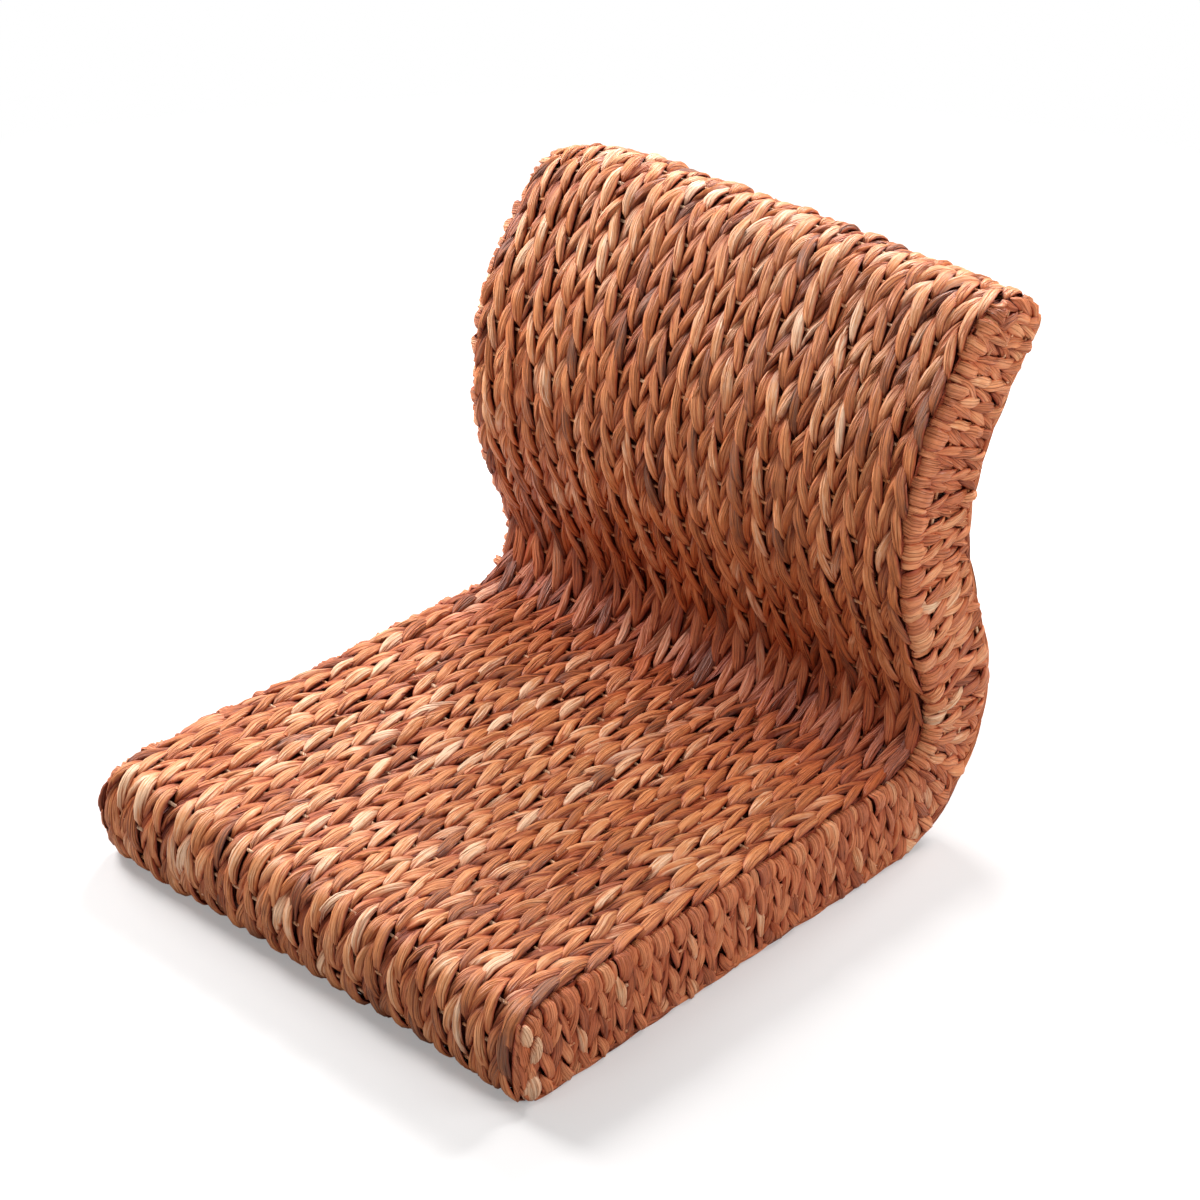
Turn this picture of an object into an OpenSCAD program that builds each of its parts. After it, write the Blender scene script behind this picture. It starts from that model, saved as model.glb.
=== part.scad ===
// Legless woven floor chair: a rod frame inside, cords across it, and a twined skin all round.
// X runs across the chair, the sitter looks towards -Y, and the underside rests on z = 0.
// The side outline is one run of straights and arcs, so every layer is that run moved inwards.

/* [Overall] */
// Width over the two woven sides
seat_w = 420; // [380:1:460]
// Thickness of the seat and the back, skin to skin
slab_t = 68; // [66:0.5:76]

/* [Side outline] */
// Straight run of the seat, from the front edge to the bend
seat_len = 374; // [330:1:410]
// Bend between seat and back, radius at mid thickness
bend_r = 75; // [66:1:90]
// Bend between seat and back, angle turned
bend_a = 110.4; // [100:0.2:116]
// Straight run above the bend
waist_len = 68; // [40:1:90]
// Hollow of the back, radius at mid thickness
lumbar_r = 151.5; // [120:0.5:200]
// Hollow of the back, angle turned
lumbar_a = 52.5; // [40:0.5:60]
// Straight run at the top of the back
top_len = 101; // [80:1:130]
// Rounding of the seat's upper front edge
front_top_r = 24; // [18:1:28]
// Rounding of the seat's lower front edge
front_low_r = 15; // [14:1:20]
// Rounding of the back's upper front edge
top_front_r = 48; // [40:1:50]
// Rounding of the back's upper rear edge
top_rear_r = 14; // [14:0.5:16]

/* [Woven skin] */
// Thickness of a twined row
skin_t = 9; // [8.8:0.1:10]
// Wanted width of one twined row
row_w = 10.25; // [9:0.05:12]
// Radius of a row's crown
crown_r = 5.6; // [5.3:0.1:7]
// Gap between neighbouring columns
row_gap = 0.2; // [0.1:0.05:0.4]
// Depth by which the weight presses the underside flat
foot_flat = 0.6; // [0.4:0.1:1]

/* [Woven sides] */
// Thickness of the inner layer of a side
side_base_t = 2.5; // [2:0.1:3]
// Height of the rows that stand on it
side_relief = 2.5; // [2:0.1:3]
// Wanted spacing of the side rows
side_row_w = 8.75; // [8:0.05:11]
// Radius of a side row
side_row_r = 4.3; // [3.8:0.05:4.35]

/* [Cords across the frame] */
// Diameter of a cord
cord_d = 4; // [3:0.1:4.5]
// Wanted spacing of the cords
cord_pitch = 26.5; // [22:0.5:32]
// Spacing of the three cords inside each side
side_cord_pitch = 16; // [12:0.5:18]

/* [Rod frame] */
// Diameter of the bent side rods
loop_d = 8; // [7:0.1:11]
// Corner radius of the bent side rods, at the rod's middle
loop_corner_r = 12; // [10:0.5:12.5]
// Their corner radius under the wide upper front edge of the back
loop_top_r = 18; // [14:0.5:18]
// Diameter of the cross bars
bar_d = 7; // [6:0.1:8]
// Diameter of the short struts in each side
strut_d = 6; // [5:0.1:8]
// Wanted spacing of the struts
strut_pitch = 85; // [70:1:120]

/* [Tail knots] */
// Diameter of a rolled leaf tail at the front corner
knot_d = 6.2; // [5:0.1:6.6]
// Length of a tail
knot_len = 14; // [10:0.5:16]
// Height of the lowest tail's lower end
knot_low = 8; // [6:0.5:10]
// Step from one tail to the next
knot_step = 17; // [16.5:0.5:18]

/* [Fits] */
// Clearance between layers that lie on each other
lay_gap = 0.2; // [0.1:0.05:0.3]

/* [Hidden] */
$fn = 48;
tie_gap = 0.04;
tie_len = 2;
side_t = side_base_t + side_relief;
face_w = seat_w - 2 * side_t;
plaits = 2 * round((face_w / row_w - 4) / 4) + 1;
row = face_w / (2 * plaits + 2);
cord_depth = skin_t + lay_gap + cord_d / 2;
loop_depth = cord_depth + cord_d / 2 + lay_gap + loop_d / 2;
cord_half = face_w / 2 - lay_gap;
side_cord_x = cord_half - cord_d / 2;
loop_x = side_cord_x - cord_d / 2 - lay_gap - loop_d / 2;
bar_half = loop_x - loop_d / 2;
strut_low = loop_depth + loop_d / 2;

// A run is a list of steps, each one a straight [length, then radius, then turn], left turns positive.
mid_run = [
  [seat_len, bend_r, bend_a],
  [waist_len, lumbar_r, -lumbar_a],
  [top_len, 0, 0]
];

// Closed run round the outline at a depth d under the skin, with corners c: lower front, upper
// rear, upper front of the back, upper front of the seat. It ends e below the top of the back.
function ring_run(d, c, e) = [
  [seat_len - d - c[0], bend_r + slab_t / 2 - d, bend_a],
  [waist_len, lumbar_r - slab_t / 2 + d, -lumbar_a],
  [top_len - e - c[1], c[1], 90],
  [slab_t - 2 * d - c[1] - c[2], c[2], 90],
  [top_len - e - c[2], lumbar_r + slab_t / 2 - d, lumbar_a],
  [waist_len, bend_r - slab_t / 2 + d, -bend_a],
  [seat_len - d - c[3], c[3], 90],
  [slab_t - 2 * d - c[3] - c[0], c[0], 90]
];
skin_corners = [front_low_r, top_rear_r, top_front_r, front_top_r];
function corners_at(d) = [for (c = skin_corners) c - d];

// Point and heading [y, z, angle] after going straight on, after an arc, and beside the run.
function ahead(p, s) = [p[0] + s * cos(p[2]), p[1] + s * sin(p[2]), p[2]];
function beside(p, v) = [p[0] - v * sin(p[2]), p[1] + v * cos(p[2]), p[2]];
function turned(p, r, a) =
  let (side = a < 0 ? -r : r, c = beside(p, side))
  beside([c[0], c[1], p[2] + a], -side);
function step_end(p, s) = turned(ahead(p, s[0]), s[1], s[2]);
function step_len(s) = s[0] + s[1] * abs(s[2]) * PI / 180;
function run_len(run, i = 0) = i == len(run) ? 0 : step_len(run[i]) + run_len(run, i + 1);
function run_starts(run, p, i = 0) =
  i == len(run) ? [] : concat([p], run_starts(run, step_end(p, run[i]), i + 1));

// Point at a distance s along a run, and the number of the step that it lies in.
function along(run, p, s, i = 0) =
  i == len(run) - 1 || s <= step_len(run[i])
    ? (s <= run[i][0] || run[i][1] == 0
        ? ahead(p, s)
        : turned(ahead(p, run[i][0]), run[i][1], sign(run[i][2]) * (s - run[i][0]) / run[i][1] * 180 / PI))
    : along(run, step_end(p, run[i]), s - step_len(run[i]), i + 1);
function step_at(run, s, i = 0) =
  i == len(run) - 1 || s <= step_len(run[i]) ? i : step_at(run, s - step_len(run[i]), i + 1);

// The outline starts at y = 0 at the front. It is then centred on its rearmost point, which is
// the upper rear corner or the bend, whichever reaches further.
mid_top = let (s = run_starts(mid_run, [0, 0, 0])) step_end(s[2], mid_run[2]);
rear_corner = beside(ahead(mid_top, -top_rear_r), top_rear_r - slab_t / 2);
y_rear = max(rear_corner[0] + top_rear_r, seat_len + bend_r + slab_t / 2);
y_front = -y_rear / 2;
z_low = -foot_flat;
mid_start = [y_front, z_low + slab_t / 2, 0];
function ring_start(d, c) = [y_front + d + c[0], z_low + d, 0];
function at_mid(s, v) = beside(along(mid_run, mid_start, s), v);
mid_len = run_len(mid_run);

// Turns a section, x across the chair and y inwards from the run, to stand across the run at p.
module stand_at(p) {
  translate([0, p[0], p[1]])
    rotate([p[2], 0, 0])
      rotate([90, 0, 180])
        children();
}

// Length of a run's section at p, centred on p, that ties a straight and an arc together.
module tie(p) {
  stand_at(p)
    translate([0, 0, -tie_len / 2])
      linear_extrude(tie_len)
        mirror([1, 0])
          children();
}

// Sweeps the first child, a section, along a run. The straights stop just short of the arcs, and
// the second child, a smaller section, ties each pair together inside.
module sweep(run, start, closed = true) {
  starts = run_starts(run, start);
  for (i = [0:len(run) - 1]) {
    p = starts[i];
    q = ahead(p, run[i][0]);
    r = run[i][1];
    a = run[i][2];
    gap_before = closed || i > 0 ? tie_gap : 0;
    gap_after = r > 0 ? tie_gap : 0;
    stand_at(ahead(p, gap_before))
      linear_extrude(run[i][0] - gap_before - gap_after)
        mirror([1, 0])
          children(0);
    if (gap_before > 0)
      tie(p) children(1);
    if (r > 0) {
      c = beside(q, a < 0 ? -r : r);
      from = a < 0 ? q[2] + 90 + a : q[2] - 90;
      tie(q) children(1);
      translate([0, c[0], c[1]])
        rotate([from, 0, 0])
          rotate([90, 0, 90])
            rotate_extrude(angle = abs(a))
              translate([r, 0])
                if (a < 0)
                  mirror([1, -1]) children(0);
                else
                  rotate(90) children(0);
    }
  }
}

// Places its child at a point of a run: Z of the child goes across the chair.
module across_at(p) {
  translate([0, p[0], p[1]])
    rotate([p[2], 0, 0])
      rotate([0, 90, 0])
        children();
}

// Section of twined rows side by side, crowns outwards, with n rows about the middle.
module rows_section(n) {
  w = n * row - row_gap;
  translate([-w / 2, crown_r])
    square([w, skin_t - crown_r]);
  intersection() {
    translate([-w / 2, 0])
      square([w, skin_t]);
    for (i = [0:n - 1])
      translate([(i - (n - 1) / 2) * row, crown_r])
        circle(r = crown_r);
  }
}

// Twined rows all round the outline, pressed flat where they rest on the floor.
module skin_loop(n) {
  difference() {
    sweep(ring_run(0, skin_corners, 0), ring_start(0, skin_corners)) {
      rows_section(n);
      translate([-n * row / 2 + tie_len, crown_r])
        square([n * row - 2 * tie_len, (skin_t - crown_r) / 2]);
    }
    translate([-n * row, y_front - skin_t, z_low * 2])
      cube([2 * n * row, y_rear + 2 * skin_t, -2 * z_low]);
  }
}

// One column of V shaped stitches: two rows twined in opposite senses.
module weft_plait(i) {
  color(i % 2 == 0 ? "peru" : "sandybrown")
    translate([(i - (plaits + 1) / 2) * 2 * row, 0, 0])
      skin_loop(2);
}

// Single row along an edge. The right one gives way to the rolled tails at the front.
module weft_edge_row_left() {
  color("sienna")
    translate([-(plaits + 0.5) * row, 0, 0])
      skin_loop(1);
}

module weft_edge_row_right() {
  color("sienna")
    difference() {
      translate([(plaits + 0.5) * row, 0, 0])
        skin_loop(1);
      knot_room();
    }
}

// Space at the front right corner that the rolled tails take.
module knot_room() {
  room = knot_d + lay_gap;
  translate([seat_w / 2 - room, y_front - skin_t, 0])
    cube([2 * room, skin_t + room, slab_t]);
}

// Rolled tails of leaf, one above the other at the front right corner.
module corner_tails() {
  r = knot_d / 2;
  color("burlywood")
    for (i = [0:2])
      translate([seat_w / 2 - r, y_front + r, knot_low + i * knot_step])
        rotate_extrude()
          intersection() {
            square([r, knot_len]);
            union() {
              translate([0, r]) square([r, knot_len - knot_d]);
              translate([0, r]) circle(r);
              translate([0, knot_len - r]) circle(r);
            }
          }
}

// Inner layer of a woven side: the whole side outline as a thin closed sheet.
module side_sheet() {
  difference() {
    sweep(mid_run, mid_start, closed = false) {
      translate([0, -slab_t / 2])
        square([side_base_t, slab_t]);
      translate([side_base_t / 4, -slab_t / 4])
        square([side_base_t / 2, slab_t / 2]);
    }
    corner_waste();
    translate([-side_t, y_front - skin_t, z_low * 2])
      cube([3 * side_t, y_rear + 2 * skin_t, -2 * z_low]);
  }
}

// What the side pieces lose at the four rounded corners of the outline.
module corner_waste() {
  corner_cut(mid_start, 1, front_top_r, 1);
  corner_cut(mid_start, 1, front_low_r, -1);
  corner_cut(at_mid(mid_len, 0), -1, top_front_r, 1);
  corner_cut(at_mid(mid_len, 0), -1, top_rear_r, -1);
}

// Waste outside one rounded corner, at an end p of the run. dir points into the run
// and up says which face of the slab the corner is on.
module corner_cut(p, dir, r, up) {
  translate([-side_t, p[0], p[1]])
    rotate([p[2], 0, 0])
      translate([0, dir * r, up * (slab_t / 2 - r)])
        rotate([90, 0, 90])
          linear_extrude(3 * side_t)
            difference() {
              translate([dir < 0 ? 0 : -2 * r, up < 0 ? -2 * r : 0])
                square(2 * r);
              circle(r);
            }
}

// Straight row on the side sheet, from one skin to the other, as a rounded bar.
module side_bar(p, r) {
  translate([side_t - r, p[0], p[1]])
    rotate([p[2], 0, 0])
      translate([0, 0, -slab_t / 2])
        rotate_extrude()
          intersection() {
            square([r, slab_t]);
            union() {
              translate([0, r]) square([r, slab_t - 2 * r]);
              translate([0, r]) circle(r);
              translate([0, slab_t - r]) circle(r);
            }
          }
}

// Row in a bend, which tapers towards the inside of the bend.
module side_taper(p, bend, inwards) {
  thin = side_row_r * (bend - slab_t / 2) / bend;
  thick = side_row_r * (bend + slab_t / 2) / bend;
  translate([side_t - side_row_r, p[0], p[1]])
    rotate([p[2], 0, 0])
      translate([0, 0, -slab_t / 2])
        cylinder(h = slab_t, r1 = inwards > 0 ? thick : thin, r2 = inwards > 0 ? thin : thick);
}

// Distances along the run at which the side rows of one step stand, first its straight part,
// then its arc.
function row_places(from, length) =
  let (n = floor(length / side_row_w), pitch = length / n)
  [for (i = [0:n - 1]) from + (i + 0.5) * pitch];
row_first = knot_d + lay_gap;
bend_from = seat_len;
waist_from = bend_from + bend_r * bend_a * PI / 180;
lumbar_from = waist_from + waist_len;
top_from = lumbar_from + lumbar_r * lumbar_a * PI / 180;

// Rows of a woven side, trimmed to the height that shows above the sheet.
module side_rows() {
  straight = concat(
    row_places(row_first, seat_len - row_first),
    row_places(waist_from, waist_len),
    row_places(top_from, top_len)
  );
  difference() {
    intersection() {
      union() {
        for (s = straight)
          side_bar(at_mid(s, 0), side_row_r);
        for (s = row_places(bend_from, waist_from - bend_from))
          side_taper(at_mid(s, 0), bend_r, 1);
        for (s = row_places(lumbar_from, top_from - lumbar_from))
          side_taper(at_mid(s, 0), lumbar_r, -1);
      }
      translate([side_base_t, y_front, 0])
        cube([side_relief, y_rear, y_rear]);
    }
    corner_waste();
  }
}

// Puts a piece made for the right side at its place on one side, s = 1 or -1.
module at_side(s) {
  if (s > 0)
    translate([face_w / 2, 0, 0]) children();
  else
    mirror([1, 0, 0]) translate([face_w / 2, 0, 0]) children();
}

module side_sheet_left() {
  color("saddlebrown") at_side(-1) side_sheet();
}

module side_sheet_right() {
  color("saddlebrown")
    difference() {
      at_side(1) side_sheet();
      knot_room();
    }
}

module side_rows_left() {
  color("chocolate") at_side(-1) side_rows();
}

module side_rows_right() {
  color("chocolate") at_side(1) side_rows();
}

// Cords across the chair, which the twined rows are worked over. They follow the outline at one
// depth, and each node holds the cords of some steps of that run.
cord_corners = corners_at(cord_depth);
cord_run = ring_run(cord_depth, cord_corners, cord_depth);
cord_start = ring_start(cord_depth, cord_corners);
cords = round(run_len(cord_run) / cord_pitch);

module cords_of(first, last) {
  color("wheat")
    for (i = [0:cords - 1])
      let (s = (i + 0.5) * run_len(cord_run) / cords, k = step_at(cord_run, s))
        if (k >= first && k <= last)
          across_at(along(cord_run, cord_start, s))
            cylinder(h = 2 * cord_half, d = cord_d, center = true);
}

module underside_cords() { cords_of(0, 0); }
module rear_cords() { cords_of(1, 3); }
module back_cords() { cords_of(4, 5); }
module seat_cords() { cords_of(6, 7); }

// Three cords inside each side, which follow the outline and carry the side rows.
module side_cords(s) {
  color("wheat")
    for (k = [-1:1])
      translate([s * side_cord_x, 0, 0])
        sweep(side_cord_run(k * side_cord_pitch), side_cord_start(k * side_cord_pitch), closed = false) {
          circle(d = cord_d);
          circle(d = cord_d / 2);
        }
}

function side_cord_run(v) = [
  [seat_len - side_cord_end(v, front_top_r), bend_r - v, bend_a],
  [waist_len, lumbar_r + v, -lumbar_a],
  [top_len - side_cord_end(v, top_front_r), 0, 0]
];
function side_cord_start(v) = beside(ahead(mid_start, side_cord_end(v, front_top_r)), v);

// Distance from an end of the outline at which a side cord at v stops, clear of the cords across
// where they go round a corner of radius r.
function side_cord_end(v, r) =
  let (inner = r - cord_depth - cord_d - lay_gap, off = max(0, v - slab_t / 2 + r))
    max(loop_depth, inner > off ? r - sqrt(inner * inner - off * off) : r);

module side_cords_left() { side_cords(-1); }
module side_cords_right() { side_cords(1); }

// Closed rod bent to the side outline. It stops far enough below the top to turn inside the
// wide upper front edge.
loop_corners = [loop_corner_r, loop_corner_r, loop_top_r, loop_corner_r];
loop_top = max(loop_depth, top_front_r - loop_top_r);
module side_loop(s) {
  color("dimgray")
    translate([s * loop_x, 0, 0])
      sweep(ring_run(loop_depth, loop_corners, loop_top), ring_start(loop_depth, loop_corners)) {
        circle(d = loop_d);
        circle(d = loop_d / 2);
      }
}

module side_loop_left() { side_loop(-1); }
module side_loop_right() { side_loop(1); }

// Bar welded between the two side rods, at a distance along the outline, on the sitter's
// face (up = 1) or the hidden face (up = -1).
module cross_bar(s, up) {
  color("slategray")
    across_at(at_mid(s, up * (slab_t / 2 - loop_depth)))
      cylinder(h = 2 * bar_half, d = bar_d, center = true);
}

bar_end = loop_depth + loop_corner_r;
module bar_front_upper() { cross_bar(bar_end, 1); }
module bar_front_lower() { cross_bar(bar_end, -1); }
module bar_thigh() { cross_bar(seat_len / 3, 1); }
module bar_seat() { cross_bar(seat_len * 2 / 3, 1); }
module bar_under() { cross_bar(seat_len / 2, -1); }
module bar_crease() { cross_bar(bend_from + (waist_from - bend_from) / 2, 1); }
module bar_heel() { cross_bar(bend_from, -1); }
module bar_tail() { cross_bar(waist_from - bend_r, -1); }
module bar_waist() { cross_bar(lumbar_from, 1); }
module bar_lumbar() { cross_bar((lumbar_from + top_from) / 2, 1); }
module bar_rear() { cross_bar((waist_from + top_from) / 2, -1); }
module bar_top_front() { cross_bar(mid_len - loop_top - loop_top_r, 1); }
module bar_top_rear() { cross_bar(mid_len - loop_top - loop_corner_r, -1); }

// Short struts from the lower run of a side rod to its upper run.
struts = floor((mid_len - 2 * bar_end) / strut_pitch);
module side_struts(s) {
  color("gray")
    for (i = [1:struts])
      let (p = at_mid(bar_end + (i - 0.5) * (mid_len - 2 * bar_end) / struts, 0))
        translate([s * loop_x, p[0], p[1]])
          rotate([p[2], 0, 0])
            cylinder(h = slab_t - 2 * strut_low, d = strut_d, center = true);
}

module side_struts_left() { side_struts(-1); }
module side_struts_right() { side_struts(1); }

for (i = [1:plaits])
  weft_plait(i);
weft_edge_row_left();
weft_edge_row_right();
corner_tails();
side_sheet_left();
side_sheet_right();
side_rows_left();
side_rows_right();
underside_cords();
rear_cords();
back_cords();
seat_cords();
side_cords_left();
side_cords_right();
side_loop_left();
side_loop_right();
bar_front_upper();
bar_front_lower();
bar_thigh();
bar_seat();
bar_under();
bar_crease();
bar_heel();
bar_tail();
bar_waist();
bar_lumbar();
bar_rear();
bar_top_front();
bar_top_rear();
side_struts_left();
side_struts_right();
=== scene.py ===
import math

import bmesh
import bpy
import numpy as np
from mathutils import Matrix, Vector


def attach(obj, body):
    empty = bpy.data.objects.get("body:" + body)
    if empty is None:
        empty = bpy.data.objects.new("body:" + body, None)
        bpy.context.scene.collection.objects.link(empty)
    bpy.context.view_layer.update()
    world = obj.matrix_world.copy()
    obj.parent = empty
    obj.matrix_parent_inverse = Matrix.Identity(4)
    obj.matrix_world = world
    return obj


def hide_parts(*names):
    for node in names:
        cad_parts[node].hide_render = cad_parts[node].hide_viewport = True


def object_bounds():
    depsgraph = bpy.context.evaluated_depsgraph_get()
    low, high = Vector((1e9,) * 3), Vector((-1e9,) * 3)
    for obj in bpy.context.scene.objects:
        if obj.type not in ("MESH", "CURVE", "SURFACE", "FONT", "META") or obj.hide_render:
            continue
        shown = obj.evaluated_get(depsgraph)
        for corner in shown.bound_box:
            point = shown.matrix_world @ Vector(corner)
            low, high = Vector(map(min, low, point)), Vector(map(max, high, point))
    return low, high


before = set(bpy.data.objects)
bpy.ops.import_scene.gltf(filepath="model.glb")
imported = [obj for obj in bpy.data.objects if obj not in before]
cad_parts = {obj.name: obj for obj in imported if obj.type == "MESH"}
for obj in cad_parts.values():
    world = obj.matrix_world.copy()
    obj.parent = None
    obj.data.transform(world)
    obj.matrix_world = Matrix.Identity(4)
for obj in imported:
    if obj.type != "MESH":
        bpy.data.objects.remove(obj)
cadLow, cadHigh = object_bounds()
print("frame loaded:", len(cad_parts), "nodes")

mm = 0.001  # lengths below are in mm and angles in degrees, apart from the floor, the lamps and the camera
chance = np.random.RandomState(41)  # every uneven thing below comes from this one seed

# The side outline, as in the part's source: straights and arcs that follow each other.
outline = dict(
    width=420, thickness=68, seatLen=374, bendRadius=75, bendTurn=110.4, waistLen=68,
    lumbarRadius=151.5, lumbarTurn=52.5, topLen=101, frontTop=24, frontLow=15, topFront=48,
    topRear=14, pressedFlat=0.6, sideDepth=5, plaits=19,
)
faceWidth = outline["width"] - 2 * outline["sideDepth"]
rowWidth = faceWidth / (2 * outline["plaits"] + 2)
halfThick = outline["thickness"] / 2
noseFlat = outline["thickness"] - outline["frontTop"] - outline["frontLow"]
topFlat = outline["thickness"] - outline["topRear"] - outline["topFront"]
frontY = cadLow[1] / mm


def turned(point, radius, turn):  # the end of an arc; a left turn is positive
    y, z, a = point
    side = -radius if turn < 0 else radius
    first, last = math.radians(a), math.radians(a + turn)
    return (
        y - side * math.sin(first) + side * math.sin(last),
        z + side * math.cos(first) - side * math.cos(last),
        a + turn,
    )


def sampledRun(start, steps, spacing=1.0):  # length, y, z and heading at close points of a run
    rows = [(0.0, *start)]
    for straight, radius, turn in steps:
        s, y, z, a = rows[-1]
        heading = math.radians(a)
        count = max(1, math.ceil(straight / spacing))
        for i in range(1, count + 1):
            way = straight * i / count
            rows.append((s + way, y + way * math.cos(heading), z + way * math.sin(heading), a))
        s, y, z, a = rows[-1]
        arc = radius * abs(math.radians(turn))
        count = math.ceil(arc / spacing)
        for i in range(1, count + 1):
            rows.append((s + arc * i / count, *turned((y, z, a), radius, turn * i / count)))
    s, y, z, a = np.array(rows).T
    return dict(s=s, y=y, z=z, a=np.radians(a), length=s[-1])


# The ring goes round the outline from the front of the underside; the middle goes from front to top.
ring = sampledRun((frontY + outline["frontLow"], -outline["pressedFlat"], 0), [
    (outline["seatLen"] - outline["frontLow"], outline["bendRadius"] + halfThick, outline["bendTurn"]),
    (outline["waistLen"], outline["lumbarRadius"] - halfThick, -outline["lumbarTurn"]),
    (outline["topLen"] - outline["topRear"], outline["topRear"], 90),
    (topFlat, outline["topFront"], 90),
    (outline["topLen"] - outline["topFront"], outline["lumbarRadius"] + halfThick, outline["lumbarTurn"]),
    (outline["waistLen"], outline["bendRadius"] - halfThick, -outline["bendTurn"]),
    (outline["seatLen"] - outline["frontTop"], outline["frontTop"], 90),
    (noseFlat, outline["frontLow"], 90),
])
middle = sampledRun((frontY, halfThick - outline["pressedFlat"], 0), [
    (outline["seatLen"], outline["bendRadius"], outline["bendTurn"]),
    (outline["waistLen"], outline["lumbarRadius"], -outline["lumbarTurn"]),
    (outline["topLen"], 0, 0),
])
noseMiddle = ring["length"] - outline["frontLow"] * math.pi / 2 - noseFlat / 2
ringParts = dict(frontEdge=62, seat=330)
seatFront = ring["length"] - ringParts["frontEdge"]  # round the ring, the seat's upper face ends here
seatBack = seatFront - ringParts["seat"]


def easeIn(value, low, high):
    t = np.clip((value - low) / (high - low), 0, 1)
    return t * t * (3 - 2 * t)


def within(value, comesIn, goesOut):
    return easeIn(value, *comesIn) * (1 - easeIn(value, *goesOut))


def bell(value, centre, reach):
    return np.exp(-(((value - centre) / reach) ** 2))


# What a woven shell has over the plain outline. A pair says from where to where a change comes in or
# goes out: High is z, Deep is y, FromFront counts from the front edge, and Aside is x, or -x on the left.
handMade = dict(
    nose=3.8, noseReach=42, noseFromFront=(0, 30),  # a full front edge
    waistLeft=8.0, waistRight=1.0, waistHeight=145, waistReach=55, waistDeep=(-20, 70),
    leftOut=1.6, leftOutHigh=(90, 150), leftTop=1.6, leftTopHigh=(340, 400),  # wider still on the left
    footOut=1.4, footFromFront=(0, 140), footHigh=(10, 60),
    leftIn=3.0, leftInFromFront=(10, 60), leftInAside=(198, 211),
    droopLeft=15, droopLeftAside=(110, 225), droopRight=6.0, droopRightAside=(-40, 200),  # the top hangs
    sag=2.2, sagMiddle=-60, sagReach=70, droopHigh=(330, 400),
    topIn=1.2, topInHigh=(300, 350), topInAside=(120, 200),
    heelIn=2.5, heelDeep=(130, 230), heelHigh=(150, 230), heelAside=(60, 200),
    heelMore=0.7, heelMoreHigh=(20, 90),
    noseIn=3.0, noseInBack=0.6, noseInUp=0.7,  # the front edge is drawn in near the floor
    noseInFromFront=(0, 26), noseInHigh=(8, 34), noseInAside=(100, 190),
    lipShare=0.8, lipGap=0.75, lipGapMiddle=-140, lipGapReach=35, lipLeft=0.6, lipLeftAside=(170, 205),
    kneeUp=2.6, kneeDeep=(-170, -20), kneeHigh=(34, 66), kneeAside=(100, 200),
    lowest=0.05,
)


def uneven(x, y, z):  # in mm, and to metres
    h = handMade

    def share(value, key, start=0):
        low, high = h[key]
        return easeIn(value, start + low, start + high)

    waist = bell(z, h["waistHeight"], h["waistReach"]) * share(y, "waistDeep")
    foot = (1 - share(y, "footFromFront", frontY)) * (1 - share(z, "footHigh"))
    left = h["waistLeft"] * waist + h["leftOut"] * share(z, "leftOutHigh")
    left = left + h["leftTop"] * share(z, "leftTopHigh")
    wider = np.where(x < 0, left, h["waistRight"] * waist + h["footOut"] * foot)
    droop = h["droopLeft"] * share(-x, "droopLeftAside") ** 2
    droop = droop + h["droopRight"] * share(x, "droopRightAside")
    droop = droop + h["sag"] * bell(x, h["sagMiddle"], h["sagReach"])
    heel = share(y, "heelDeep") * (1 - share(z, "heelHigh")) * share(x, "heelAside")
    heel = heel * (1 + h["heelMore"] * (1 - share(z, "heelMoreHigh")))
    lip = h["lipShare"] - h["lipGap"] * bell(x, h["lipGapMiddle"], h["lipGapReach"])
    lip = lip + h["lipLeft"] * share(-x, "lipLeftAside")
    lowNose = (1 - share(y, "noseInFromFront", frontY)) * (1 - share(z, "noseInHigh"))
    lowNose = lowNose * lip * (1 - share(x, "noseInAside"))
    knee = share(-x, "kneeAside") * (1 - share(y, "kneeDeep")) * share(z, "kneeHigh")
    cornerIn = h["leftIn"] * share(-x, "leftInAside") * (1 - share(y, "leftInFromFront", frontY))
    x = x * (1 + wider / (outline["width"] / 2)) + cornerIn
    topIn = h["topIn"] * share(z, "topInHigh") * share(x, "topInAside")
    y = y - h["heelIn"] * heel + h["noseIn"] * h["noseInBack"] * lowNose - topIn
    z = z - droop * share(z, "droopHigh") + h["noseIn"] * h["noseInUp"] * lowNose + h["kneeUp"] * knee
    return np.stack([x, y, np.maximum(z, h["lowest"])], -1) * mm


def onSkin(spot):  # x across, s round the ring, height over the skin
    x, s, h = spot[..., 0], spot[..., 1] % ring["length"], spot[..., 2]
    nose = np.clip(1 - np.abs(s - noseMiddle) / handMade["noseReach"], 0, 1)
    h = h + handMade["nose"] * nose * nose * (3 - 2 * nose)
    a = np.interp(s, ring["s"], ring["a"])
    y = np.interp(s, ring["s"], ring["y"]) + h * np.sin(a)
    z = np.interp(s, ring["s"], ring["z"]) - h * np.cos(a)
    return uneven(x, y, z)


sideCorners = (  # at the top end or not, the radius, over or under the middle
    (False, "frontTop", 1), (False, "frontLow", -1), (True, "topFront", 1), (True, "topRear", -1),
)


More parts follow.
